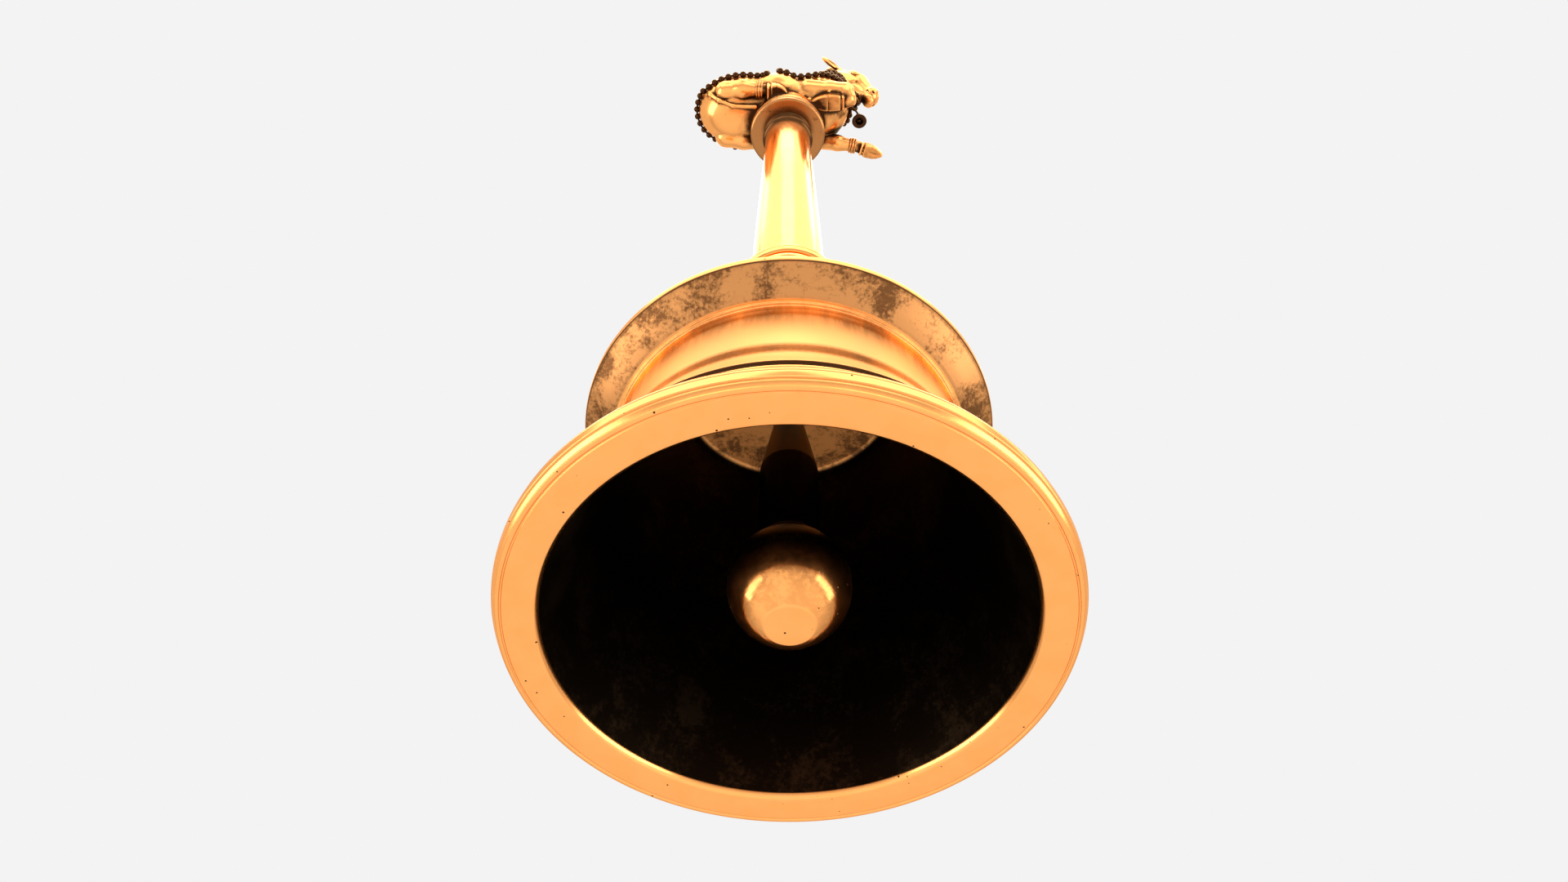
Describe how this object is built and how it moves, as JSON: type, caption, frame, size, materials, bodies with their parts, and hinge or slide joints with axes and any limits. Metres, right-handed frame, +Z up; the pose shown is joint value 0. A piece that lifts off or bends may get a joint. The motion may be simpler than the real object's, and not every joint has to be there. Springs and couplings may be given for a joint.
{
  "type": "hand bell",
  "caption": "Brass temple hand bell with a turned handle, a swinging clapper inside, and a recumbent garlanded bull on top.",
  "frame": {"origin": "centre of the mouth, in the plane of the rim that the bell stands on", "axes": "+Z up the axis from the mouth to the bull, +X the way the bull faces"},
  "size_m": [0.0816, 0.0816, 0.2297],
  "materials": {
    "bell_brass": "polished cast brass, antiqued in the recesses",
    "handle_brass": "hand-polished turned brass",
    "figure_brass": "cast brass, dark in the creases",
    "ornament_brass": "dark antiqued brass beads",
    "clapper_brass": "cast brass, dull",
    "hidden_steel": "plain steel, dulled"
  },
  "bodies": {
    "bell": {"bell_shell": "bell_brass", "bull_anklets": "ornament_brass", "bull_collar": "ornament_brass", "bull_ears": "figure_brass", "bull_head": "figure_brass", "bull_hooves": "figure_brass", "bull_horns": "figure_brass", "bull_hump": "figure_brass", "bull_left_foreleg": "figure_brass", "bull_left_hindleg": "figure_brass", "bull_neck": "figure_brass", "bull_right_foreleg": "figure_brass", "bull_right_hindleg": "figure_brass", "bull_tail": "figure_brass", "bull_torso": "figure_brass", "capital_disc": "handle_brass", "clapper_staple": "hidden_steel", "crown_nut": "hidden_steel", "crown_washer": "hidden_steel", "figure_plinth": "figure_brass", "flank_garland": "ornament_brass", "handle_base_ring": "handle_brass", "handle_collar": "handle_brass", "handle_shaft": "handle_brass", "neck_ferrule": "handle_brass", "neck_garland": "ornament_brass", "pendant_bell": "ornament_brass", "rump_garland": "ornament_brass", "tie_rod": "hidden_steel"},
    "link": {"clapper_link": "hidden_steel"},
    "clapper": {"clapper_stem": "clapper_brass", "clapper_ball": "clapper_brass"}
  },
  "joints": [
    {"name": "clapper_swing", "type": "hinge", "parent": "bell", "child": "link", "pos_m": [0, 0, 0.0553], "axis": [0, 1, 0], "range_deg": [-25, 25]},
    {"name": "clapper_cross_swing", "type": "hinge", "parent": "link", "child": "clapper", "pos_m": [0, 0, 0.052], "axis": [1, 0, 0], "range_deg": [-11, 11]}
  ]
}
